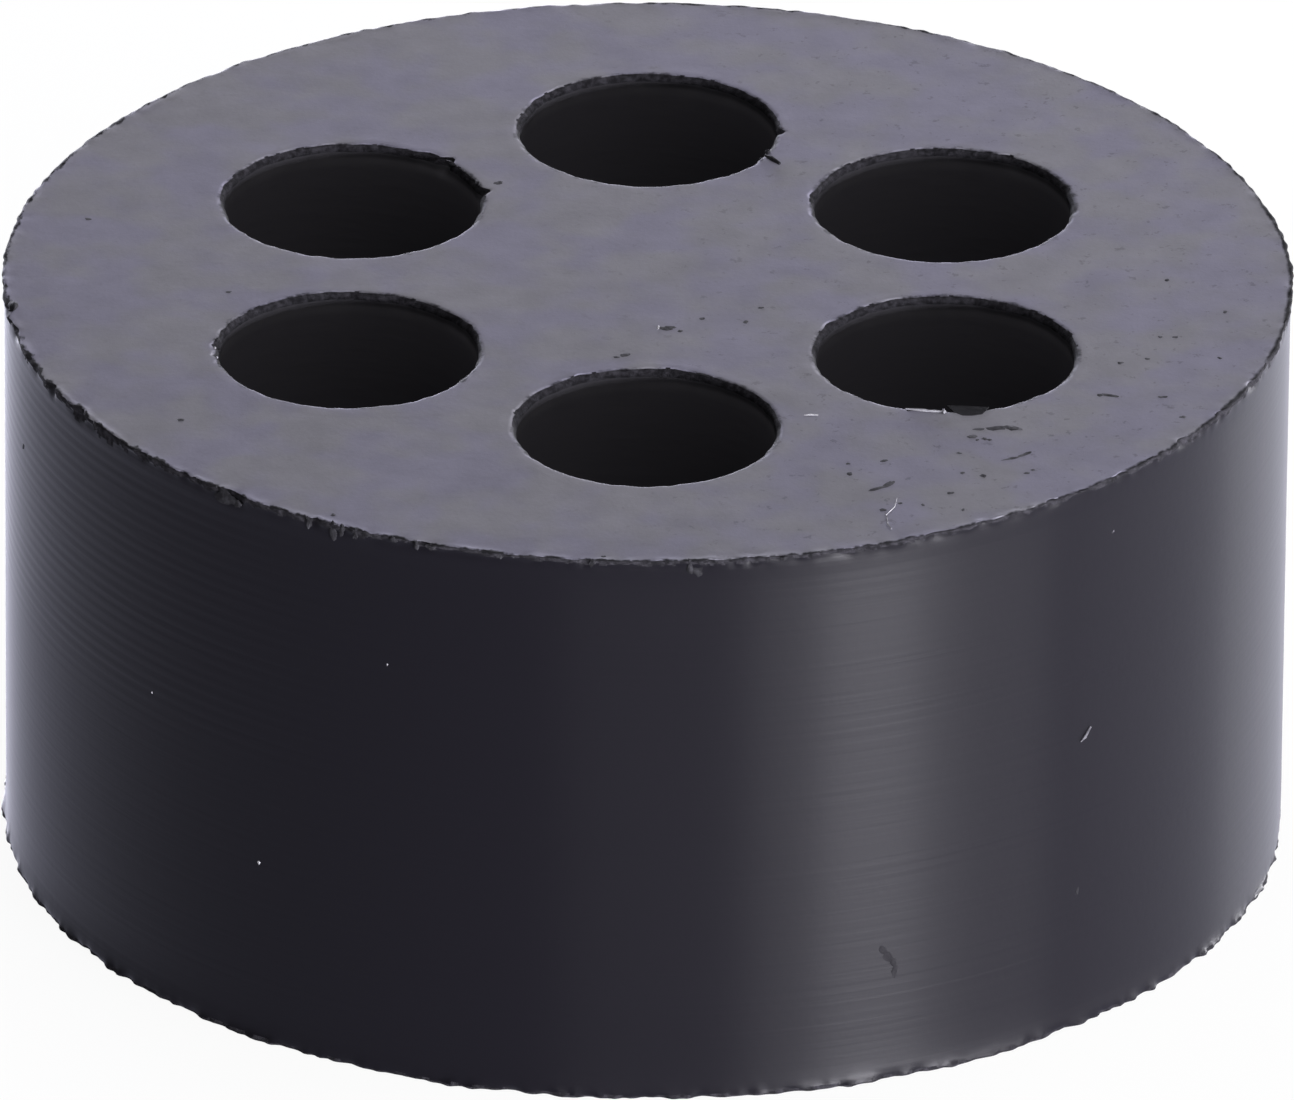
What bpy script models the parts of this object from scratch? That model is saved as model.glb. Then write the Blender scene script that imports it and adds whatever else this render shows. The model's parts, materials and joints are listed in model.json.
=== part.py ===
"""Multi-hole sealing insert of black rubber, the kind that a cable gland squeezes round its cables.

A turned blank is sawn to length and bored with a ring of straight cable holes. One mouth is torn.
Metres, +Z up. The origin is the centre of the lower sawn face, and +Z is the insert's axis.

Run with: blender --background --python part.py
"""

import math

import bmesh
import bpy
from mathutils import Matrix, Vector

# Driving dimensions, in metres
INSERT_LENGTH = 0.01385
HOLE_DIAMETER = 0.0060
HOLE_WEB = 0.0020  # rubber left between two neighbouring holes
OUTER_WALL = 0.0040  # rubber left between a hole and the turned side
RIM_ROUND = 0.00015  # radius worn on the edge between the side and a sawn face
MOUTH_BREAK = 0.00010  # width of the broken edge round each hole's mouth

# The ring of holes
HOLE_COUNT = 6
FIRST_HOLE_BEARING = math.radians(90)  # from +X; the next holes follow anticlockwise

# The torn nick in one upper mouth
NICK_HOLE = 4  # counted from the first hole, which is 0
NICK_BEARING = math.radians(-80)  # from the hole's centre
NICK_WIDTH = 0.00090  # along the mouth
NICK_REACH = 0.00058  # outwards from the bore's wall, in the face
NICK_DEPTH = 0.00035
NICK_FLOOR = 0.55  # share of the nick's width that is left at its floor

# Sizes that follow from those above
HOLE_RADIUS = HOLE_DIAMETER / 2
RING_RADIUS = (HOLE_DIAMETER + HOLE_WEB) / 2 / math.sin(math.pi / HOLE_COUNT)
INSERT_RADIUS = RING_RADIUS + HOLE_RADIUS + OUTER_WALL  # 15 mm, for a 30 mm gland bore
CUTTER_OVERRUN = 0.0005  # how far a cutter passes each face

# Fineness of the round walls
SIDE_FACETS = 180
BORE_FACETS = 64
RIM_FACETS = 2
NICK_FACETS = 9
AXIS_MERGE = 0.00001
SHARP_ANGLE = math.radians(15)

# Finishes
TURNED_COLOUR = (0.016, 0.0155, 0.018, 1.0)
TURNED_ROUGHNESS = 0.42
SAWN_COLOUR = (0.17, 0.165, 0.19, 1.0)
SAWN_ROUGHNESS = 0.8


def clear_scene():
    for obj in list(bpy.data.objects):
        bpy.data.objects.remove(obj, do_unlink=True)


def new_collection(name):
    collection = bpy.data.collections.new(name)
    bpy.context.scene.collection.children.link(collection)
    return collection


def rubber(name, colour, roughness):
    material = bpy.data.materials.new(name)
    material.use_nodes = True
    shader = material.node_tree.nodes["Principled BSDF"]
    shader.inputs["Base Color"].default_value = colour
    shader.inputs["Roughness"].default_value = roughness
    shader.inputs["Metallic"].default_value = 0.0
    return material


def arc(centre_radius, centre_height, radius, first_degrees, last_degrees):
    """Points of an arc in the profile's plane, as (radius, height) pairs."""
    points = []
    for step in range(RIM_FACETS + 1):
        angle = math.radians(first_degrees + (last_degrees - first_degrees) * step / RIM_FACETS)
        points.append((centre_radius + radius * math.cos(angle), centre_height + radius * math.sin(angle)))
    return points


def blank_profile():
    """The turned blank: from the upper face's centre, out, down the side and in again."""
    corner = INSERT_RADIUS - RIM_ROUND
    return [
        (0.0, INSERT_LENGTH),
        *arc(corner, INSERT_LENGTH - RIM_ROUND, RIM_ROUND, 90, 0),
        *arc(corner, RIM_ROUND, RIM_ROUND, 0, -90),
        (0.0, 0.0),
    ]


def bore_profile():
    """A straight bore whose two mouths open at 45 degrees, and run on past both faces."""
    wide = HOLE_RADIUS + MOUTH_BREAK + CUTTER_OVERRUN
    return [
        (0.0, INSERT_LENGTH + CUTTER_OVERRUN),
        (wide, INSERT_LENGTH + CUTTER_OVERRUN),
        (HOLE_RADIUS, INSERT_LENGTH - MOUTH_BREAK),
        (HOLE_RADIUS, MOUTH_BREAK),
        (wide, -CUTTER_OVERRUN),
        (0.0, -CUTTER_OVERRUN),
    ]


def turned(name, profile, facets, collection):
    """An object turned about its own Z from a profile that is listed from top to bottom."""
    mesh = bpy.data.meshes.new(name)
    edges = [(index, index + 1) for index in range(len(profile) - 1)]
    mesh.from_pydata([(radius, 0.0, height) for radius, height in profile], edges, [])
    obj = bpy.data.objects.new(name, mesh)
    collection.objects.link(obj)
    screw = obj.modifiers.new("turned", "SCREW")
    screw.steps = facets
    screw.render_steps = facets
    screw.use_merge_vertices = True
    screw.merge_threshold = AXIS_MERGE
    return obj


def hole_centre(index):
    bearing = FIRST_HOLE_BEARING + index * math.tau / HOLE_COUNT
    return Vector((RING_RADIUS * math.cos(bearing), RING_RADIUS * math.sin(bearing), 0.0))


def bore_cutters(collection):
    """One turned cutter for each cable hole, set round the ring."""
    cutters = []
    for index in range(HOLE_COUNT):
        cutter = turned(f"bore_cutter_{index + 1}", bore_profile(), BORE_FACETS, collection)
        cutter.location = hole_centre(index)
        cutters.append(cutter)
    return cutters


def nick_cutter(collection):
    """A tapered pit, half above the face, that stands on the bore's wall where the mouth is torn."""
    outwards = Matrix.Rotation(NICK_BEARING, 4, "Z")
    stretch = Matrix.Diagonal((2 * NICK_REACH / NICK_WIDTH, 1.0, 1.0, 1.0))
    pit = bmesh.new()
    bmesh.ops.create_cone(
        pit,
        cap_ends=True,
        segments=NICK_FACETS,
        radius1=NICK_WIDTH / 2 * NICK_FLOOR,
        radius2=NICK_WIDTH / 2 * (2 - NICK_FLOOR),
        depth=2 * NICK_DEPTH,
        matrix=outwards @ stretch,
    )
    mesh = bpy.data.meshes.new("nick_cutter")
    pit.to_mesh(mesh)
    pit.free()
    cutter = bpy.data.objects.new("nick_cutter", mesh)
    collection.objects.link(cutter)
    on_wall = outwards @ Vector((HOLE_RADIUS, 0.0, INSERT_LENGTH))
    cutter.location = hole_centre(NICK_HOLE % HOLE_COUNT) + on_wall
    return cutter


def cut(body, cutter):
    cutter.hide_render = True
    cutter.display_type = "WIRE"
    difference = body.modifiers.new(cutter.name, "BOOLEAN")
    difference.operation = "DIFFERENCE"
    difference.solver = "EXACT"
    difference.object = cutter


def settle(body):
    """Takes the turning and the cuts into the body's own mesh, with its edges crisp."""
    evaluated = body.evaluated_get(bpy.context.evaluated_depsgraph_get())
    body.data = bpy.data.meshes.new_from_object(evaluated)
    body.modifiers.clear()
    body.data.shade_smooth()
    body.data.set_sharp_from_angle(angle=SHARP_ANGLE)


def dress(body):
    """Satin rubber where the blank was turned and bored, grey matt rubber where it was sawn."""
    body.data.materials.clear()
    body.data.materials.append(rubber("turned_rubber", TURNED_COLOUR, TURNED_ROUGHNESS))
    body.data.materials.append(rubber("sawn_rubber", SAWN_COLOUR, SAWN_ROUGHNESS))
    for face in body.data.polygons:
        face.material_index = 1 if abs(face.normal.z) > math.cos(SHARP_ANGLE) else 0


def main():
    clear_scene()
    parts = new_collection("multi_hole_sealing_insert")
    cutters = new_collection("cutters")
    insert = turned("sealing_insert", blank_profile(), SIDE_FACETS, parts)
    for cutter in bore_cutters(cutters):
        cut(insert, cutter)
    cut(insert, nick_cutter(cutters))
    settle(insert)
    dress(insert)


main()
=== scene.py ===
"""Looks of a multi-hole sealing insert: a short black rubber cylinder bored with a ring of cable holes.

Metres, +Z up. The insert stands on its lower sawn face, with one cable hole at the back of its ring.
"""

import json
import math

import bmesh
import bpy
from mathutils import Matrix, Vector, noise


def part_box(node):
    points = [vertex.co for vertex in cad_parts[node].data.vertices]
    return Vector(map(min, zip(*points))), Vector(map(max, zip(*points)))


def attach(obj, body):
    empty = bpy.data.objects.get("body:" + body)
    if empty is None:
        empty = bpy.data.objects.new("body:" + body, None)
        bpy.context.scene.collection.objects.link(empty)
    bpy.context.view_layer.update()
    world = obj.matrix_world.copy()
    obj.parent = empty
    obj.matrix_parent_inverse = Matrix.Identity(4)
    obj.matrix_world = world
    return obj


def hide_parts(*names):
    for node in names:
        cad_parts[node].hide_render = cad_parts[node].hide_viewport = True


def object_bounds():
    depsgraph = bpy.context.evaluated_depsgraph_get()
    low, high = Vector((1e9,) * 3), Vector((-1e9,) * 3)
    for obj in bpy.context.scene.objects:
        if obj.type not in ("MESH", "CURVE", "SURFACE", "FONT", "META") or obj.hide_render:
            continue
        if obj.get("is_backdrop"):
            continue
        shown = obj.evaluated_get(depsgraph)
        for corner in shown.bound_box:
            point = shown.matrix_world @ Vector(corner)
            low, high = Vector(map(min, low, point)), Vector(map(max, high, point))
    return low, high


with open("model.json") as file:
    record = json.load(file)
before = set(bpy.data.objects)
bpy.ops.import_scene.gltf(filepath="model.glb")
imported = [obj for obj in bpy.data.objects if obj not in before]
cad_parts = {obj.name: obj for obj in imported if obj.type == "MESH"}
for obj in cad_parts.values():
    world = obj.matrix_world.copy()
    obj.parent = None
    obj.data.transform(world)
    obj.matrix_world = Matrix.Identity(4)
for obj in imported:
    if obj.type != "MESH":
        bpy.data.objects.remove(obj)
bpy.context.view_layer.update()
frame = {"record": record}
MM = 0.001


# The rubber body
# One solid piece of black rubber that a cable gland squeezes round its cables. Its side was turned in a
# lathe, both ends were sawn off square, and the cable holes were bored straight through.
body_low, body_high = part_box("sealing_insert")
LENGTH = body_high[2] - body_low[2]
RADIUS = (body_high[0] - body_low[0]) / 2
HOLE_RADIUS = 3.0 * MM
UPPER_ROUND = 0.04 * MM
LOWER_ROUND = 0.03 * MM
MOUTH_ROUND = 0.17 * MM
RIM_COLUMNS = 1080
MOUTH_COLUMNS = 180
UPPER_LANDS = [inset * MM for inset in (1.2, 0.6, 0.4, 0.28, 0.2, 0.14, 0.1, 0.07)]
UPPER_DROPS = [drop * MM for drop in (0.06, 0.09, 0.13, 0.18, 0.24, 0.32, 0.45, 0.7, 1.2, 2.6, 4.6)]
LOWER_LANDS = [inset * MM for inset in (1.2, 0.5, 0.25, 0.12, 0.06)]
LOWER_DROPS = [drop * MM for drop in (0.05, 0.1, 0.18, 0.32, 0.6, 1.2, 2.6)]
MOUTH_LANDS = [inset * MM for inset in (0.75, 0.5, 0.36, 0.27, 0.2)]
MOUTH_DROPS = [drop * MM for drop in (0.22, 0.35, 0.5, 1.0, 2.0, 4.5)]
FOOT_LANDS = [inset * MM for inset in (0.75, 0.3)]
FOOT_DROPS = [drop * MM for drop in (0.3, 1.0, 3.0)]
BODY_CREASE = 60

hole_centres = []
for opening in frame["record"]["physics"]["openings"]:
    low, high = opening["box_m"]
    hole_centres.append(Vector(((low[0] + high[0]) / 2, (low[1] + high[1]) / 2, 0.0)))
RING_RADIUS = hole_centres[0].length


def arc(centre_radius, centre_height, radius, first, last, steps):
    """Points of a small round in the profile's plane, between two angles in degrees."""
    points = []
    for step in range(steps + 1):
        angle = math.radians(first + (last - first) * step / steps)
        points.append((centre_radius + radius * math.cos(angle), centre_height + radius * math.sin(angle)))
    return points


def turned(profile, columns):
    """A wall turned about Z from (radius, height) points: each ring is extruded from the last."""
    wall = bmesh.new()
    radius, height = profile[0]
    ring = bmesh.ops.create_circle(wall, cap_ends=False, segments=columns, radius=radius)["verts"]
    bmesh.ops.translate(wall, verts=ring, vec=(0.0, 0.0, height))
    edges = wall.edges[:]
    for next_radius, next_height in profile[1:]:
        made = bmesh.ops.extrude_edge_only(wall, edges=edges)["geom"]
        edges = [part for part in made if isinstance(part, bmesh.types.BMEdge)]
        ring = [part for part in made if isinstance(part, bmesh.types.BMVert)]
        grow = next_radius / radius
        bmesh.ops.scale(wall, verts=ring, vec=(grow, grow, 1.0))
        bmesh.ops.translate(wall, verts=ring, vec=(0.0, 0.0, next_height - height))
        radius, height = next_radius, next_height
    mesh = bpy.data.meshes.new("wall")
    wall.to_mesh(mesh)
    wall.free()
    return mesh


side_wall = turned(
    [(RADIUS - inset, LENGTH) for inset in UPPER_LANDS]
    + arc(RADIUS - UPPER_ROUND, LENGTH - UPPER_ROUND, UPPER_ROUND, 90, 0, steps=3)
    + [(RADIUS, LENGTH - drop) for drop in UPPER_DROPS]
    + [(RADIUS, drop) for drop in reversed(LOWER_DROPS)]
    + arc(RADIUS - LOWER_ROUND, LOWER_ROUND, LOWER_ROUND, 0, -90, steps=2)
    + [(RADIUS - inset, 0.0) for inset in reversed(LOWER_LANDS)],
    RIM_COLUMNS,
)
bore_wall = turned(
    [(HOLE_RADIUS + inset, LENGTH) for inset in MOUTH_LANDS]
    + arc(HOLE_RADIUS + MOUTH_ROUND, LENGTH - MOUTH_ROUND, MOUTH_ROUND, 90, 180, steps=7)
    + [(HOLE_RADIUS, LENGTH - drop) for drop in MOUTH_DROPS]
    + [(HOLE_RADIUS, drop) for drop in reversed(FOOT_DROPS)]
    + arc(HOLE_RADIUS + MOUTH_ROUND, MOUTH_ROUND, MOUTH_ROUND, 180, 270, steps=3)
    + [(HOLE_RADIUS + inset, 0.0) for inset in reversed(FOOT_LANDS)],
    MOUTH_COLUMNS,
)
body = bmesh.new()
body.from_mesh(side_wall)
for centre in hole_centres:
    before = len(body.verts)
    body.from_mesh(bore_wall)
    bmesh.ops.translate(body, verts=body.verts[before:], vec=centre)
for height, up in ((LENGTH, 1.0), (0.0, -1.0)):
    rings = [
        edge
        for edge in body.edges
        if edge.is_boundary and abs(edge.verts[0].co.z - height) < LOWER_ROUND / 2
    ]
    bmesh.ops.triangle_fill(body, edges=rings, use_beauty=True, normal=(0.0, 0.0, up))
bmesh.ops.recalc_face_normals(body, faces=body.faces)

# Each face takes the finish of the way it was cut, and the broken edges are torn rubber. The dark torn finish
# is also painted shade: in a band under each rim, and on the far sides of the upper mouths, where faces tilt
# towards the front. From here to the dust, bearings go from the front towards the right, in degrees, and
# lengths without MM are in millimetres. A value that changes round the insert is a base, then rises of
# (amount, bearing, width).
TURNED, BORED, SAWN, TORN_AND_SHADED = range(4)
RIM_LEVEL = (0.93, (0.05, 52, 28))  # how level a face by a rim must be to stay sawn
MOUTH_LEVEL = 0.92  # the same for the far side of a mouth
MOUTH_WALL_LEVEL = 0.1  # a steeper face in the mouth's round stays sawn too
LEVEL_WANDER = 0.08
UPPER_BAND = (0.09, (0.09, -60, 25), (0.04, 65, 20))  # how far down the torn edge reaches
LOWER_BAND = 0.075
LOWER_BAND_WANDER = 0.05


def lump(place, size):
    """A smooth chance value from about -0.5 to 0.5, in lumps of this many millimetres."""
    return noise.noise(place / (size * MM) + Vector((0.37, 0.71, 0.53)))


def hump(value, centre, width):
    """1 at the centre, falling smoothly to 0 some widths away."""
    return math.exp(-(((value - centre) / width) ** 2))


def turn_between(bearing, other):
    return (bearing - other + 180.0) % 360.0 - 180.0


def swell(bearing, base, *rises):
    """A value that rises smoothly about some bearings."""
    return base + sum(rise * hump(turn_between(bearing, middle), 0, width) for rise, middle, width in rises)


def nicked(bearing, inset, drop, land, nicks):
    """How far the edge is broken away here, by nicks of (bearing, half width in degrees, reach, depth)."""
    deepest = 0.0
    for middle, half_width, reach, depth in nicks:
        gap = abs(turn_between(bearing, middle)) / half_width
        if gap < 2.0:
            share = math.exp(-(gap**3)) * max(0.0, 1.0 - inset / land) * max(0.0, 1.0 - drop / depth)
            deepest += reach * share
    return deepest


for face in body.faces:
    face.smooth = True
    middle = face.calc_center_median()
    upper = middle.z > LENGTH / 2
    drop = (LENGTH - middle.z if upper else middle.z) / MM
    bearing = math.degrees(math.atan2(middle.x, -middle.y))
    by_rim = math.hypot(middle.x, middle.y) > RADIUS - 2 * UPPER_ROUND
    # A tilted face by a rim takes the dark torn finish in a band under the edge, partly as painted shade.
    if by_rim and abs(face.normal.z) < swell(bearing, *RIM_LEVEL) + LEVEL_WANDER * lump(middle, 0.3):
        if upper:
            band = swell(bearing, *UPPER_BAND) * (1.0 + lump(middle, 0.5) + 0.8 * lump(middle, 0.2))
        else:
            band = LOWER_BAND + LOWER_BAND_WANDER * lump(middle, 0.4)
        face.material_index = TORN_AND_SHADED if drop < band else TURNED
    elif drop < MOUTH_ROUND / MM:
        # On the far side of an upper mouth, faces that tilt towards the front take the dark torn finish as
        # painted shade.
        tilted = MOUTH_WALL_LEVEL < face.normal.z < MOUTH_LEVEL + LEVEL_WANDER * lump(middle, 0.25)
        face.material_index = TORN_AND_SHADED if upper and face.normal.y < 0.0 and tilted else SAWN
    else:
        face.material_index = BORED

# Both rims are worn and ragged: they lean out a little, with a torn groove below the upper one, and small
# nicks.
RIM_REACH = 1.25  # how far from an edge its shaping reaches
MOUTH_REACH = 0.8
RIM_EDGE = 0.35  # width of the edge that leans and is ragged
MOUTH_EDGE = 0.3
UPPER_LEAN = (0.06, (-0.045, 203, 35), (-0.035, 35, 25))
LOWER_LEAN = (0.03, (0.05, -62, 25), (0.03, 40, 20), (-0.05, 90, 8))
RAGGED = 0.05
UPPER_RAGGED_REACH = 0.2
LOWER_RAGGED_REACH = 0.12
LOWER_RAGGED_SHARE = 2.0
RIGHT_SPREAD = (0.0, (0.02, 90, 50))  # the upper half stands out a little on the right, most at the rim
SPREAD_DROP = 5
GROOVE_DEPTH = 0.04
GROOVE_DROP = 0.16
GROOVE_WIDTH = 0.08
GROOVE_FADE = (1.0, (-0.8, 45, 55))
RIM_LIP = 0.008
RIM_LIP_INSET = 0.09
RIM_LIP_WIDTH = 0.06
RIM_LIP_FADE = (1.0, (-0.7, 65, 35))
RIM_LUMPS = 0.02
RIM_LUMPS_REACH = 0.15
MOUTH_LIP = 0.003
MOUTH_LIP_INSET = 0.3
MOUTH_LIP_WIDTH = 0.1
LIP_DROP = 0.05
RIM_NICK_LAND = 1.2
MOUTH_NICK_LAND = 0.75
# Rows of (bearing, half width in degrees, reach, depth). A reach below 0 stands out instead.
UPPER_NICKS = (
    (-82.4, 0.7, 0.10, 0.20),
    (-78.6, 1.9, 0.10, 0.35),
    (-66.3, 0.5, 0.15, 0.30),
    (-60.8, 0.7, 0.14, 0.30),
    (-50.5, 0.5, 0.07, 0.20),
    (-45.0, 0.6, 0.06, 0.20),
    (-39.3, 1.4, 0.14, 0.34),
    (-30.3, 0.35, 0.10, 0.22),
    (-27.3, 0.35, 0.10, 0.22),
    (-19.6, 0.9, 0.09, 0.20),
    (-5.4, 0.4, 0.09, 0.20),
    (1.5, 0.4, 0.05, 0.16),
    (5.6, 0.4, 0.07, 0.20),
    (7.8, 0.4, 0.08, 0.20),
    (9.3, 0.4, 0.07, 0.20),
    (24.0, 0.6, 0.05, 0.16),
    (31.0, 0.5, 0.06, 0.18),
    (38.5, 0.7, 0.07, 0.20),
    (47.0, 0.6, 0.07, 0.20),
    (55.5, 0.7, 0.08, 0.25),
    (62.0, 0.5, 0.09, 0.25),
    (68.5, 0.6, 0.08, 0.25),
)
LOWER_NICKS = (
    (-88.5, 1.2, -0.06, 0.5),
    (-85.0, 0.7, 0.05, 0.3),
    (-82.3, 0.8, -0.08, 0.3),
)
# One row of nicks for each hole, with bearings anticlockwise from +X
MOUTH_NICKS = (
    ((-0.7, 2.0, 0.20, 0.30), (-26.0, 1.5, 0.06, 0.15), (150.0, 3.0, 0.05, 0.15), (200.0, 2.0, 0.06, 0.15)),
    ((45.5, 3.0, 0.30, 0.35), (54.0, 5.0, 0.14, 0.30), (11.0, 3.0, 0.22, 0.30), (165.0, 3.0, 0.06, 0.2)),
    ((176.0, 2.0, 0.10, 0.2), (186.0, 1.6, 0.12, 0.2), (194.0, 2.0, 0.10, 0.2), (25.0, 2.0, 0.06, 0.15)),
    ((80.0, 4.0, 0.08, 0.20), (-10.0, 2.0, 0.06, 0.15), (120.0, 3.0, 0.06, 0.2), (165.0, 2.0, 0.06, 0.2)),
    ((-106.3, 1.2, 0.10, 0.25), (-64.0, 2.5, 0.05, 0.20), (150.0, 3.0, 0.06, 0.2), (20.0, 2.0, 0.05, 0.2)),
    ((170.0, 3.0, 0.08, 0.20), (190.0, 2.0, 0.08, 0.20), (60.0, 3.0, 0.06, 0.2), (-5.0, 2.0, 0.07, 0.2)),
)
for vert in body.verts:
    place = vert.co.copy()
    upper = place.z > LENGTH / 2
    drop = (LENGTH - place.z if upper else place.z) / MM
    up = Vector((0.0, 0.0, 1.0 if upper else -1.0))
    around = Vector((place.x, place.y, 0.0))
    ragged = RAGGED * (lump(place, 0.8) + lump(place, 0.27))
    lean = spread = groove = 0.0
    if around.length > RADIUS - RIM_REACH * MM:
        outward = around.normalized()
        inset = max(0.0, (RADIUS - around.length) / MM)
        bearing = math.degrees(math.atan2(place.x, -place.y))
        if upper:
            lean = swell(bearing, *UPPER_LEAN)
            spread = swell(bearing, *RIGHT_SPREAD) * hump(drop, 0, SPREAD_DROP)
            groove = GROOVE_DEPTH * (0.8 + 1.2 * lump(place, 0.6)) * hump(drop, GROOVE_DROP, GROOVE_WIDTH)
            groove *= swell(bearing, *GROOVE_FADE)
            lip = RIM_LIP * (0.5 + lump(place, 1.1)) * hump(inset, RIM_LIP_INSET, RIM_LIP_WIDTH)
            lip *= swell(bearing, *RIM_LIP_FADE)
            lip += RIM_LUMPS * lump(place, 0.35) * hump(inset, 0, RIM_LUMPS_REACH)
            lip *= hump(drop, 0, LIP_DROP)
            bite = nicked(bearing, inset, drop, RIM_NICK_LAND, UPPER_NICKS)
            ragged *= hump(inset + drop, 0, UPPER_RAGGED_REACH)
        else:
            lean = swell(bearing, *LOWER_LEAN)
            lip = 0.0
            bite = nicked(bearing, inset, drop, RIM_NICK_LAND, LOWER_NICKS)
            ragged *= LOWER_RAGGED_SHARE * hump(inset + drop, 0, LOWER_RAGGED_REACH)
        edge = hump(inset + drop, 0, RIM_EDGE)
    else:
        index = min(range(len(hole_centres)), key=lambda number: (hole_centres[number] - around).length)
        from_centre = around - hole_centres[index]
        inset = max(0.0, (from_centre.length - HOLE_RADIUS) / MM)
        if inset > MOUTH_REACH:
            continue
        bearing = math.degrees(math.atan2(from_centre.y, from_centre.x))
        outward = (hole_centres[index] - around).normalized()
        lip = MOUTH_LIP * (0.5 + lump(place, 0.9)) * hump(inset, MOUTH_LIP_INSET, MOUTH_LIP_WIDTH)
        lip *= hump(drop, 0, LIP_DROP)
        bite = nicked(bearing, inset, drop, MOUTH_NICK_LAND, MOUTH_NICKS[index]) if upper else 0.0
        edge = hump(inset + drop, 0, MOUTH_EDGE)
    vert.co = place + (outward * (edge * (lean + ragged) + spread - groove - bite) + up * lip) * MM

body_mesh = bpy.data.meshes.new("rubber_body")
body.to_mesh(body_mesh)
body.free()
rubber_body = bpy.data.objects.new("rubber_body", body_mesh)
bpy.context.scene.collection.objects.link(rubber_body)
body_mesh.set_sharp_from_angle(angle=math.radians(BODY_CREASE))


class Signal:
    """A shader socket whose operators add Math nodes."""

    def __init__(self, finish, socket):
        self.finish = finish
        self.socket = socket

    def math(self, operation, *others):
        made = self.finish.node("ShaderNodeMath", {"operation": operation}, dict(enumerate((self, *others))))
        return made["Value"]

    def __add__(self, other):
        return self.math("ADD", other)

    def __sub__(self, other):
        return self.math("SUBTRACT", other)

    def __rsub__(self, other):
        return (self * -1.0).math("ADD", other)

    def __mul__(self, other):
        return self.math("MULTIPLY", other)

    __radd__ = __add__
    __rmul__ = __mul__

    def step(self, start, end):
        """Goes smoothly from 0 at the start to 1 at the end."""
        settings = {"interpolation_type": "SMOOTHSTEP"}
        inputs = {"Value": self, "From Min": start, "From Max": end}
        return self.finish.node("ShaderNodeMapRange", settings, inputs)["Result"]


class Finish:
    """A material or a world as it is made: its tree, its main shader and one method for any other node."""

    def __init__(self, name, world=None):
        self.material = world or bpy.data.materials.new(name)
        self.material.use_nodes = True
        self.tree = self.material.node_tree
        self.shader = self.tree.nodes["Background" if world else "Principled BSDF"]

    def node(self, kind, settings=None, inputs=None):
        """Adds a node, sets it up, fills its sockets, and returns its outputs by name."""
        made = self.tree.nodes.new(kind)
        for name, value in (settings or {}).items():
            setattr(made, name, value)
        for name, value in (inputs or {}).items():
            self.feed(made.inputs[name], value)
        return {output.name: Signal(self, output) for output in made.outputs if output.enabled}

    def feed(self, socket, value):
        if isinstance(value, Signal):
            self.tree.links.new(value.socket, socket)
        else:
            socket.default_value = value

    def shade(self, **sockets):
        """Sets the main shader's sockets, named with _ for a space."""
        for name, value in sockets.items():
            self.feed(self.shader.inputs[name.replace("_", " ")], value)

    def place(self, scale=(1.0, 1.0, 1.0), location=(0.0, 0.0, 0.0)):
        """Object coordinates in millimetres, stretched and shifted."""
        coordinates = self.node("ShaderNodeTexCoord")["Object"]
        inputs = {"Vector": coordinates, "Scale": tuple(each / MM for each in scale), "Location": location}
        return self.node("ShaderNodeMapping", inputs=inputs)["Vector"]

    def axes(self):
        """The place in millimetres as three signals."""
        split = self.node("ShaderNodeSeparateXYZ", inputs={"Vector": self.place()})
        return split["X"], split["Y"], split["Z"]

    def cloud(self, scale=(1.0, 1.0, 1.0), detail=3.0, roughness=0.5, location=(0.0, 0.0, 0.0)):
        """Noise whose main lumps are about a millimetre across at scale 1."""
        place = self.place(scale, location)
        inputs = {"Vector": place, "Scale": 1.0, "Detail": detail, "Roughness": roughness}
        return self.node("ShaderNodeTexNoise", inputs=inputs)["Fac"]

    def blend(self, factor, first, second):
        """A colour between two others."""
        inputs = {0: factor, 6: first, 7: second}
        return self.node("ShaderNodeMix", {"data_type": "RGBA"}, inputs)["Result"]

    def relief(self, height, depth, under=None):
        """A normal for hills of this depth where the height goes from 0 to 1."""
        inputs = {"Height": height, "Distance": depth, "Strength": 1.0}
        if under is not None:
            inputs["Normal"] = under
        return self.node("ShaderNodeBump", inputs=inputs)["Normal"]


TURNED_BLACK = (0.0031, 0.0028, 0.0040, 1.0)
LATHE_FEED = 0.29  # millimetres that the tool moved on in each turn
RING_DEPTH = 0.005 * MM
STREAK_DEPTH = 0.004 * MM


def turned_finish():
    """Satin black rubber with the lathe tool's fine rings, plainest in the upper half on the left."""
    finish = Finish("turned_rubber")
    x, y, z = finish.axes()
    streaks = finish.cloud((0.12, 0.12, 9.0), detail=2.0)
    patches = finish.cloud((0.6, 0.6, 2.6), detail=1.0)
    left_top = z.step(6.6, 7.8) * x.step(-5.0, -13.5)
    rings = (z * (math.tau / LATHE_FEED)).math("SINE") * patches.step(0.2, 0.45) * (left_top * 0.9 + 0.1)
    grain = finish.cloud((5.0, 5.0, 5.0), detail=2.0)
    streaked = finish.relief(streaks + grain * 0.4, STREAK_DEPTH)
    finish.shade(
        Base_Color=TURNED_BLACK,
        Roughness=0.33,
        Specular_IOR_Level=0.095,
        Specular_Tint=(0.975, 0.96, 1.0, 1.0),
        Anisotropic=0.9,
        Anisotropic_Rotation=0.25,
        Normal=finish.relief(rings * 0.5 + 0.5, RING_DEPTH, streaked),
    )
    return finish.material


BORE_PAINTED_SHADE = (0.024, 0.023, 0.0265, 1.0)
BORE_PAINTED_LIGHT = (0.062, 0.059, 0.067, 1.0)
BORE_WALL = (0.052, 0.049, 0.057, 1.0)


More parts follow.
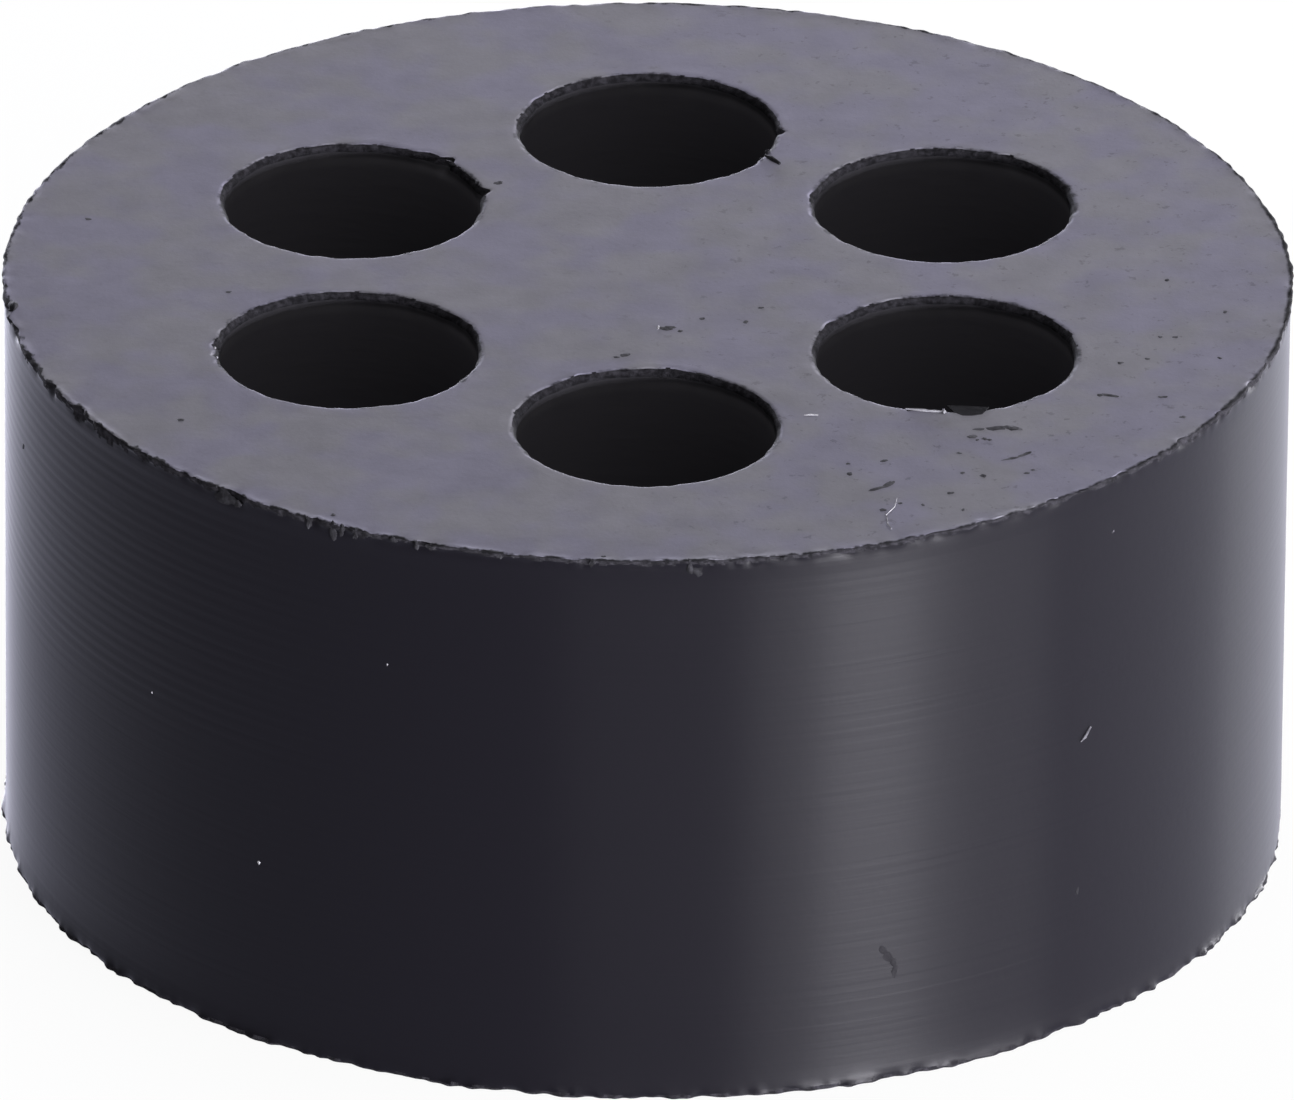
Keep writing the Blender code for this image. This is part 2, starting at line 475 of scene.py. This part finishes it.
def bored_finish():
    """Matt black rubber, with painted shade at the upper mouths and painted light in a paler ring below them.
    """
    finish = Finish("bored_rubber")
    z = finish.axes()[2]
    streaks = finish.cloud((1.0, 1.0, 4.0))
    depth = LENGTH / MM - z
    # Painted light: darker at the mouth, where the low lamps reach into the bore, and paler in the ring just
    # below, where their light stops.
    top = finish.blend(depth.step(0.22, 0.36), BORE_PAINTED_SHADE, BORE_PAINTED_LIGHT)
    finish.shade(
        Base_Color=finish.blend(depth.step(0.4, 0.6), top, BORE_WALL),
        Roughness=0.8,
        Specular_IOR_Level=0.04,
        Normal=finish.relief(streaks, 0.01 * MM),
    )
    return finish.material


SAWN_VIOLET = (0.152, 0.146, 0.192, 1.0)
SAWN_GREY = (0.158, 0.154, 0.176, 1.0)
# Colours of the worn rounds at the edges, painted dark as their shade, and a little lighter further down.
SHADED_RUBBED_EDGE = (0.012, 0.0115, 0.0138, 1.0)
SHADED_RUBBED_WALL = (0.0165, 0.016, 0.0186, 1.0)
HOLE_SPACING = math.tau / len(hole_centres)


def sawn_finish():
    """Grey matt sawn rubber, with painted shade at the worn edges of the holes and the rim."""
    finish = Finish("sawn_rubber")
    x, y, z = finish.axes()
    from_axis = (x * x + y * y).math("SQRT")
    bearing = y.math("ARCTAN2", x)
    off_row = (bearing - math.pi / 2).math("PINGPONG", HOLE_SPACING / 2)
    ring = RING_RADIUS / MM
    square = from_axis * from_axis + ring**2 - from_axis * off_row.math("COSINE") * (2 * ring)
    mouth_gap = square.math("SQRT") - HOLE_RADIUS / MM
    rim_gap = RADIUS / MM - from_axis
    ragged = finish.cloud((3.0, 3.0, 3.0), detail=4.0, roughness=0.65)
    rim_ragged = finish.cloud((3.0, 1.5, 3.0), detail=3.0, roughness=0.6)
    broad = finish.cloud((0.5, 0.5, 0.5), detail=3.0, roughness=0.6)
    middling = finish.cloud((1.1, 1.1, 1.1), detail=1.5, roughness=0.5, location=(2.0, 5.0, 8.0))
    tint = finish.cloud((0.55, 0.55, 0.55), detail=2.0, location=(7.0, 3.0, 0.0))
    grain = finish.cloud((7.0, 7.0, 7.0), detail=3.0, roughness=0.7)
    speck_cloud = finish.cloud((2.6, 2.6, 2.6), detail=3.0, roughness=0.75, location=(4.0, 9.0, 1.0))
    edge_drop = (LENGTH / MM - z).math("MINIMUM", z)
    # Painted shade, partly wear: the mouths' rounds and a ragged line along the rim, most ragged on the left,
    # are darkened.
    worn_and_shaded_mouth = 1.0 - (mouth_gap + ragged * 0.4 - 0.2).step(0.03, 0.19)
    worn_and_shaded_mouth = worn_and_shaded_mouth.math("MAXIMUM", (edge_drop + ragged * 0.06 - 0.04).step(0.0, 0.045))
    worn_and_shaded_rim = 1.0 - (rim_gap + (rim_ragged - 0.5) * (0.42 - x * 0.014)).step(-0.02, 0.07)
    worn_and_shaded = worn_and_shaded_mouth.math("MAXIMUM", worn_and_shaded_rim)
    lip = (1.0 - (mouth_gap - 0.34).math("ABSOLUTE").step(0.0, 0.2)) * ragged.step(0.42, 0.6)
    # Painted light: the (x + y) term makes the face a little lighter towards the back right.
    level = 0.90 + broad * 0.24 + middling * 0.32 + grain * 0.16 + (x + y) * 0.006 + lip * 0.05
    # Darker specks, most of them towards the right.
    dark_specks = speck_cloud.step(0.6, 0.68) * 0.33 * (x.step(-4.0, 6.0) * 0.8 + 0.2)
    # Painted shade: the face is darkened close to each mouth, where it begins to tilt into the round.
    level = level * (mouth_gap.step(0.07, 0.2) * 0.4 + 0.6) - dark_specks
    tinted = finish.blend(tint.step(0.35, 0.62), SAWN_VIOLET, SAWN_GREY)
    toned = finish.node("ShaderNodeVectorMath", {"operation": "SCALE"}, {"Vector": tinted, "Scale": level})
    rubbed_and_shaded = finish.blend(edge_drop.step(0.08, 0.2), SHADED_RUBBED_EDGE, SHADED_RUBBED_WALL)
    finish.shade(
        Base_Color=finish.blend(worn_and_shaded, toned["Vector"], rubbed_and_shaded),
        Roughness=0.85,
        Specular_IOR_Level=0.08,
        Normal=finish.relief(middling + grain * 0.5, 0.006 * MM),
    )
    return finish.material


def plain_finish(name, dark, pale, relief):
    """Matt torn rubber or dust between two tones."""
    finish = Finish(name)
    grain = finish.cloud((6.0, 6.0, 6.0), detail=4.0, roughness=0.7)
    finish.shade(
        Base_Color=finish.blend(grain.step(0.35, 0.7), (*dark, 1.0), (*pale, 1.0)),
        Roughness=0.9,
        Specular_IOR_Level=0.04,
        Normal=finish.relief(grain, relief * MM),
    )
    return finish.material


# Torn rubber, whose dark finish is also painted shade under the rims and on the far sides of the upper
# mouths.
torn_rubber = plain_finish("torn_rubber", (0.005, 0.0048, 0.0058), (0.02, 0.019, 0.023), 0.03)
for material in (turned_finish(), bored_finish(), sawn_finish(), torn_rubber):
    body_mesh.materials.append(material)


def dress(piece):
    """Lets a piece ride with the insert."""
    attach(piece, "root")


dress(rubber_body)
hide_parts("sealing_insert")


# Torn flaps
# Small flaps of rubber that the saw left hanging from the upper rim, a little paler than the side, and torn
# scraps at the holes' mouths.
UP = Vector((0.0, 0.0, 1.0))
PIECE_CREASE = 50


def on_face(x, y, height=0.0):
    """A point on the upper face, from millimetres."""
    return Vector((x * MM, y * MM, LENGTH + height * MM))


def on_side(bearing, drop, height=0.0):
    """A point on the turned side, below the upper rim; its bearing is from the front towards the right."""
    turn = math.radians(bearing)
    reach = RADIUS + height * MM
    return Vector((reach * math.sin(turn), -reach * math.cos(turn), LENGTH - drop * MM))


def on_mouth(hole, bearing, distance, height=0.0):
    """A point by one hole, at a bearing from +X and a distance in millimetres from the hole's centre."""
    turn = math.radians(bearing)
    away = Vector((math.cos(turn), math.sin(turn), 0.0)) * distance * MM
    return hole_centres[hole] + away + Vector((0.0, 0.0, LENGTH + height * MM))


def strand(mesh, points, thickness):
    """Adds a thin strand of rubber or dust along some points, thinner towards its ends."""
    curve = bpy.data.curves.new("strand", "CURVE")
    curve.dimensions = "3D"
    curve.bevel_depth = thickness / 2 * MM
    curve.bevel_resolution = 1
    curve.use_fill_caps = True
    spline = curve.splines.new("POLY")
    spline.points.add(len(points) - 1)
    for index, (point, place) in enumerate(zip(spline.points, points)):
        along = index / (len(points) - 1)
        point.co = (*place, 1.0)
        point.radius = 0.45 + 0.55 * math.sin(math.pi * along) + 0.5 * lump(place, 0.11)
    holder = bpy.data.objects.new("strand", curve)
    made = bpy.data.meshes.new_from_object(holder)
    mesh.from_mesh(made)
    bpy.data.objects.remove(holder)
    bpy.data.curves.remove(curve)
    bpy.data.meshes.remove(made)


def crumb(mesh, place, outward, length, width, height, turn=0.0):
    """Adds a ragged flat crumb that sits on the surface; its turn is about the way outward."""
    made = bmesh.ops.create_icosphere(mesh, subdivisions=2, radius=0.5)["verts"]
    for vert in made:
        vert.co *= 1.0 + 0.9 * lump(place + vert.co * MM, 0.45)
    bmesh.ops.scale(mesh, verts=made, vec=(length * MM, width * MM, height * MM))
    bmesh.ops.rotate(mesh, verts=made, matrix=Matrix.Rotation(math.radians(turn), 3, "Z"))
    bmesh.ops.rotate(mesh, verts=made, matrix=outward.to_track_quat("Z", "Y").to_matrix())
    bmesh.ops.translate(mesh, verts=made, vec=place)


def side_crumb(mesh, bearing, drop, lift, length, width, height, turn=0.0):
    """Adds a crumb on the turned side."""
    place = on_side(bearing, drop, lift)
    crumb(mesh, place, Vector((place.x, place.y, 0.0)).normalized(), length, width, height, turn)


def add_piece(name, mesh, material):
    """Turns a filled bmesh into a dressed piece."""
    bmesh.ops.recalc_face_normals(mesh, faces=mesh.faces)
    for face in mesh.faces:
        face.smooth = True
    data = bpy.data.meshes.new(name)
    mesh.to_mesh(data)
    mesh.free()
    data.set_sharp_from_angle(angle=math.radians(PIECE_CREASE))
    data.materials.append(material)
    piece = bpy.data.objects.new(name, data)
    bpy.context.scene.collection.objects.link(piece)
    dress(piece)


FLAP_THICKNESS = 0.09
FLAP_LIFT = 0.055
FLAP_TUCK = 0.15  # how fast the lift falls with the drop below the rim
SCRAP_LIFT = 0.01
flap_rubber = plain_finish("flap_rubber", (0.008, 0.0077, 0.009), (0.019, 0.0185, 0.0215), 0.02)
flaps = bmesh.new()
for bearing, drop, across, down in (
    (-67.4, 0.08, 0.20, 0.20),
    (-57.8, 0.09, 0.16, 0.20),
    (-39.8, 0.16, 0.56, 0.34),
    (-38.6, 0.22, 0.22, 0.22),
    (-30.9, 0.12, 0.13, 0.30),
    (-28.5, 0.16, 0.20, 0.40),
    (-27.6, 0.10, 0.13, 0.26),
    (-26.2, 0.11, 0.12, 0.28),
    (-25.2, 0.06, 0.26, 0.14),
    (-22.6, 0.06, 0.20, 0.12),
    (-20.4, 0.09, 0.13, 0.22),
    (-18.9, 0.07, 0.28, 0.14),
    (-12.8, 0.06, 0.14, 0.14),
    (-4.6, 0.08, 0.13, 0.18),
    (3.9, 0.15, 0.14, 0.34),
    (4.6, 0.27, 0.28, 0.22),
    (12.2, 0.06, 0.14, 0.12),
):
    side_crumb(flaps, bearing, drop, FLAP_LIFT - FLAP_TUCK * drop, across, down, FLAP_THICKNESS)

# A thicker flap on the far left, a whisker at one mouth, and scraps along arcs of the mouths
crumb(flaps, on_face(-14.76, -1.85, 0.02), UP, 0.22, 0.42, 0.14)
strand(flaps, [on_face(2.74, 6.56, 0.03), on_face(2.9, 6.36, 0.05), on_face(3.1, 6.1, 0.04)], 0.12)
for hole, first, last, distance, thickness in (
    (0, -24.0, -22.0, 3.06, 0.10),
    (0, -31.3, -29.6, 3.07, 0.08),
    (1, 45.0, 38.0, 3.08, 0.10),
    (1, 36.0, 24.0, 3.05, 0.05),
    (1, 20.5, 16.5, 3.09, 0.08),
    (2, 171.0, 173.0, 3.08, 0.09),
    (3, 60.0, 68.0, 3.07, 0.04),
    (3, 120.0, 126.0, 3.06, 0.04),
):
    turns = [first + (last - first) * step / 6 for step in range(7)]
    strand(flaps, [on_mouth(hole, bearing, distance, SCRAP_LIFT) for bearing in turns], thickness)
add_piece("torn_flaps", flaps, flap_rubber)

# Lips at the mouths
# Thin pale lips and flakes that stand up at the mouths of two holes. They are the insert's own rubber, torn,
# and about as grey as the sawn face.
lip_rubber = plain_finish("lip_rubber", (0.14, 0.136, 0.155), (0.2, 0.196, 0.215), 0.02)
LIP_WANDER = 0.03
lips = bmesh.new()
for hole, first, last, distance, thickness in (
    (4, -107.5, -91.0, 3.11, 0.09),
    (2, 179.5, 180.5, 3.10, 0.07),
    (2, 189.0, 190.0, 3.07, 0.06),
):
    points = []
    for step in range(9):
        bearing = first + (last - first) * step / 8
        wander = LIP_WANDER * lump(on_mouth(hole, bearing, HOLE_RADIUS / MM), 0.3)
        points.append(on_mouth(hole, bearing, distance + wander, SCRAP_LIFT))
    strand(lips, points, thickness)
crumb(lips, on_mouth(4, -90.9, 3.11, 0.02), UP, 0.12, 0.16, 0.09)
add_piece("mouth_lips", lips, lip_rubber)

# Tears and crumbs
# Small dark tears and grains of rubber dust on the upper face, thickest towards the front right, with one
# fibre and one faint speck on the right of the side.
crumb_rubber = plain_finish("crumb_rubber", (0.034, 0.033, 0.038), (0.085, 0.083, 0.094), 0.01)
CRUMB_HEIGHT = 0.008
crumbs = bmesh.new()
for x, y, length, width, turn in (
    (7.72, -8.0, 0.28, 0.15, 0),
    (8.14, -7.93, 0.46, 0.28, 10),
    (8.46, -7.94, 0.46, 0.26, -12),
    (5.32, -11.16, 0.40, 0.14, 38),
    (5.60, -10.90, 0.42, 0.13, 54),
    (8.40, -9.54, 0.40, 0.11, 28),
    (8.72, -9.33, 0.36, 0.12, 44),
    (10.7, -6.15, 0.56, 0.13, -15),
    (0.54, -2.71, 0.26, 0.14, 8),
    (0.47, -2.74, 0.26, 0.24, 0),
    (0.79, -2.90, 0.12, 0.12, 0),
    (1.28, -2.25, 0.14, 0.10, 20),
    (2.30, -2.39, 0.16, 0.10, 60),
    (2.65, -1.64, 0.14, 0.09, 10),
    (-0.50, -4.20, 0.24, 0.16, 20),
    (-0.70, -4.32, 0.14, 0.10, 0),
    (7.52, -8.41, 0.28, 0.20, -10),
    (7.82, -8.51, 0.12, 0.16, 30),
    (4.66, -9.87, 0.10, 0.12, 0),
    (4.70, -10.40, 0.12, 0.18, 0),
    (5.49, -9.70, 0.18, 0.12, 15),
    (5.43, -12.27, 0.14, 0.16, 0),
    (5.85, -11.90, 0.12, 0.10, 0),
    (6.37, -11.99, 0.10, 0.12, 0),
    (7.02, -11.35, 0.16, 0.14, 40),
    (7.29, -12.24, 0.10, 0.12, 0),
    (7.76, -10.45, 0.16, 0.16, 0),
    (7.22, -9.26, 0.12, 0.10, 0),
    (7.30, -10.30, 0.10, 0.12, 0),
    (8.78, -10.28, 0.14, 0.12, 0),
    (8.92, -10.12, 0.10, 0.10, 0),
    (7.64, -8.57, 0.10, 0.10, 0),
    (7.94, -8.56, 0.10, 0.12, 0),
    (10.50, -6.15, 0.14, 0.14, 0),
    (11.96, -6.23, 0.22, 0.12, 0),
    (12.41, -7.28, 0.18, 0.14, 30),
    (12.28, -3.04, 0.12, 0.12, 0),
    (11.93, -3.04, 0.10, 0.10, 0),
    (10.99, -4.44, 0.14, 0.12, 0),
    (11.61, -4.22, 0.12, 0.10, 0),
    (13.46, -1.68, 0.10, 0.12, 0),
    (13.31, -4.14, 0.12, 0.12, 0),
    (12.13, 0.01, 0.10, 0.12, 0),
    (-13.11, 2.90, 0.16, 0.14, 0),
    (-9.77, -0.98, 0.14, 0.12, 0),
    (-10.75, -7.81, 0.18, 0.14, 0),
    (-3.54, 5.01, 0.22, 0.16, 30),
    (-7.16, -12.73, 0.12, 0.16, 0),
    (-0.95, -14.80, 0.10, 0.12, 0),
):
    crumb(crumbs, on_face(x, y), UP, length, width, CRUMB_HEIGHT, turn)
strand(crumbs, [on_side(42.2, 6.50, 0.02), on_side(42.7, 6.40, 0.03), on_side(43.4, 6.20, 0.02)], 0.095)
side_crumb(crumbs, 45.9, 1.42, 0.0, 0.09, 0.10, 0.03)
add_piece("tears_and_crumbs", crumbs, crumb_rubber)

# Smears and a nick's painted shade
# Thin dark smears of rubber that cling to the turned side, and one dark flat plate across the near edge of a
# hole, which is painted shade: it stands for the shaded floor of a nick there.
smear_rubber = plain_finish("smear_rubber", (0.0085, 0.0081, 0.0096), (0.0125, 0.012, 0.0138), 0.005)
SMEAR_HEIGHT = 0.012
SMEAR_LIFT = 0.003
NICK_SHADE_HOLE = 4
NICK_SHADE_LIFT = 0.008
NICK_SHADE_THICKNESS = 0.03 * MM
NICK_SHADE_OUTLINE = (
    (0.02, -2.77),
    (0.50, -2.79),
    (1.00, -2.84),
    (0.92, -3.05),
    (0.84, -3.22),
    (0.60, -3.30),
    (0.38, -3.29),
    (0.20, -3.12),
)
smears_and_nick_shade = bmesh.new()
# Painted shade: a thin dark plate on the face at this mouth, standing for the shaded floor of a nick.
corners = [smears_and_nick_shade.verts.new(hole_centres[NICK_SHADE_HOLE] + on_face(x, y, NICK_SHADE_LIFT)) for x, y in NICK_SHADE_OUTLINE]
nick_shade_plate = bmesh.ops.extrude_face_region(smears_and_nick_shade, geom=[smears_and_nick_shade.faces.new(corners)])["geom"]
lowered = [part for part in nick_shade_plate if isinstance(part, bmesh.types.BMVert)]
bmesh.ops.translate(smears_and_nick_shade, verts=lowered, vec=(0.0, 0.0, -NICK_SHADE_THICKNESS))
for bearing, drop, length, width, turn in (
    (-63.8, 13.45, 0.16, 0.30, 0),
    (-66.7, 13.52, 0.14, 0.26, 0),
    (-74.9, 2.62, 0.20, 0.10, 30),
    (42.1, 10.37, 0.10, 0.16, 0),
    (21.75, 10.50, 0.15, 0.26, 40),
    (22.25, 10.68, 0.17, 0.30, 48),
    (22.75, 10.86, 0.14, 0.24, 30),
    (22.85, 11.10, 0.13, 0.34, -6),
):
    side_crumb(smears_and_nick_shade, bearing, drop, SMEAR_LIFT, length, width, SMEAR_HEIGHT, turn)
add_piece("dark_smears", smears_and_nick_shade, smear_rubber)

# Dust
# Pale specks and short fibres of lint on the upper face and the side. Nothing fixes them: they only cling to
# the rubber.
dust = plain_finish("dust", (0.13, 0.127, 0.14), (0.24, 0.235, 0.25), 0.01)
SPECK_HEIGHT = 0.05
lint = bmesh.new()
for points, thickness in (
    (((5.78, -11.74, 0.05), (5.72, -12.20, 0.05), (5.52, -12.66, 0.06)), 0.03),
    (((5.50, -12.50, 0.05), (5.54, -12.75, 0.05), (5.56, -13.10, 0.05), (5.64, -13.35, 0.05)), 0.035),
    (((3.65, -7.43, 0.05), (3.80, -7.41, 0.06), (3.98, -7.42, 0.05)), 0.045),
):
    strand(lint, [on_face(*point) for point in points], thickness)
for bearing, drop, length, width in (
    (-36.3, 9.28, 0.08, 0.12),
    (-67.4, 0.05, 0.12, 0.08),
    (-23.2, 3.30, 0.05, 0.05),
    (-49.4, 6.07, 0.05, 0.05),
):
    side_crumb(lint, bearing, drop, 0.0, length, width, SPECK_HEIGHT)
crumb(lint, on_face(0.26, -2.72), UP, 0.07, 0.16, SPECK_HEIGHT)
add_piece("dust", lint, dust)


# The table
# A white sheet that the insert stands on. The camera and the mirrored rays see it as almost plain white, with
# a small share of the lit paper, so that a faint shadow stays round the foot. Its size is in metres.
TABLE_SIZE = 6.0
TABLE_GAP = 0.02 * MM  # keeps the sheet out of the plane of the lower face
PAPER = (0.93, 0.93, 0.93, 1.0)
SEEN_WHITE = (1.0, 1.0, 1.0, 1.0)
MIRRORED_WHITE = (0.87, 0.88, 1.12, 1.0)
WHITENING = 0.92
sheet = bmesh.new()
bmesh.ops.create_grid(sheet, x_segments=1, y_segments=1, size=TABLE_SIZE / 2)
bmesh.ops.translate(sheet, verts=sheet.verts, vec=(0.0, 0.0, -TABLE_GAP))
sheet_mesh = bpy.data.meshes.new("table")
sheet.to_mesh(sheet_mesh)
sheet.free()
table = bpy.data.objects.new("table", sheet_mesh)
bpy.context.scene.collection.objects.link(table)
paper = Finish("white_paper")
paper.shade(Base_Color=PAPER, Roughness=0.9, Specular_IOR_Level=0.1)
lit = Signal(paper, paper.shader.outputs["BSDF"])
rays = paper.node("ShaderNodeLightPath")
seen = rays["Is Camera Ray"]
white = paper.blend(seen, MIRRORED_WHITE, SEEN_WHITE)
glow = paper.node("ShaderNodeEmission", inputs={"Color": white, "Strength": 1.0})["Emission"]
shown = seen.math("MAXIMUM", rays["Is Glossy Ray"]).math("MAXIMUM", rays["Is Transmission Ray"])
mixed = paper.node("ShaderNodeMixShader", inputs={0: shown * WHITENING, 1: lit, 2: glow})
paper.tree.links.new(mixed["Shader"].socket, paper.tree.nodes["Material Output"].inputs["Surface"])
sheet_mesh.materials.append(paper.material)
table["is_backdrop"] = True


# Light
# A pale room with one soft lamp overhead, and soft panels low round the table whose light lies along the
# side of the insert. The strongest stand at the front right and behind. Lamp sizes and distances are in
# metres. The camera sees the room at full white, and it lights the insert at the room's strength.
ROOM_STRENGTH = 0.3
bpy.context.scene.world = bpy.data.worlds.new("pale_room")
room = Finish("pale_room", bpy.context.scene.world)
seen = room.node("ShaderNodeLightPath")["Is Camera Ray"]
room.shade(Color=(1.0, 1.0, 1.0, 1.0), Strength=seen * (1.0 - ROOM_STRENGTH) + ROOM_STRENGTH)


def soft_lamp(name, bearing, elevation, distance, width, height, power, colour=(1.0, 1.0, 1.0)):
    """A flat lamp that faces the insert; its bearing is from the front towards the right."""
    data = bpy.data.lights.new(name, "AREA")
    data.color = colour
    data.shape = "RECTANGLE"
    data.size = width
    data.size_y = height
    data.energy = power
    lamp = bpy.data.objects.new(name, data)
    bpy.context.scene.collection.objects.link(lamp)
    turn, tilt = math.radians(bearing), math.radians(elevation)
    away = Vector((math.sin(turn) * math.cos(tilt), -math.cos(turn) * math.cos(tilt), math.sin(tilt)))
    lamp.location = away * distance
    lamp.rotation_mode = "QUATERNION"
    lamp.rotation_quaternion = away.to_track_quat("Z", "Y")


soft_lamp("overhead_lamp", bearing=60, elevation=70, distance=0.6, width=0.5, height=0.5, power=1.42)
PANEL_ELEVATION = 2.4
PANEL_DISTANCE = 0.55
PANEL_HEIGHT = 0.04
PALE = (0.96, 0.96, 1.0)
COOL = (0.86, 0.86, 1.0)
for bearing, width, power in (
    (2, 0.30, 0.95),
    (39, 0.17, 5.6),
    (36, 0.36, 6.2),
    (62, 0.20, 3.0),
    (98, 0.45, 3.1),
    (137, 0.40, 6.1),
    (-158, 0.40, 4.9),
    (-166, 0.36, 8.8),
):
    name = f"panel_{bearing % 360:03d}"
    colour = COOL if bearing < 0 else PALE
    soft_lamp(name, bearing, PANEL_ELEVATION, PANEL_DISTANCE, width, PANEL_HEIGHT, power, colour)


# The camera
# It looks down at the insert from far off with a long lens. Its pose and lens were fitted to the outline and
# the holes in the photograph, and the fit gave a roll of 0.4 degrees.
VIEW_ELEVATION = 0.4577  # radians
VIEW_ROLL = 0.0070
VIEW_DISTANCE = 47.5 * RADIUS
VIEW_LENS = 845.7
AIM_RIGHT = 0.038 * MM
AIM_DOWN = 0.169 * MM
away = Vector((0.0, -math.cos(VIEW_ELEVATION), math.sin(VIEW_ELEVATION)))
level_right = Vector((1.0, 0.0, 0.0))
level_up = away.cross(level_right)
right = level_right * math.cos(VIEW_ROLL) + level_up * math.sin(VIEW_ROLL)
up = level_up * math.cos(VIEW_ROLL) - level_right * math.sin(VIEW_ROLL)
target = Vector((0.0, 0.0, LENGTH / 2)) + right * AIM_RIGHT - up * AIM_DOWN
camera_data = bpy.data.cameras.new("camera")
camera_data.lens = VIEW_LENS
camera_data.sensor_width = 36.0
camera_data.clip_start = 0.01
camera_data.clip_end = 20.0
camera = bpy.data.objects.new("camera", camera_data)
bpy.context.scene.collection.objects.link(camera)
pose = camera.matrix_world.copy()
for row in range(3):
    pose[row][0], pose[row][1], pose[row][2] = right[row], up[row], away[row]
    pose[row][3] = (target + away * VIEW_DISTANCE)[row]
camera.matrix_world = pose
bpy.context.scene.camera = camera
bpy.context.scene.view_settings.view_transform = "Standard"

low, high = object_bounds()
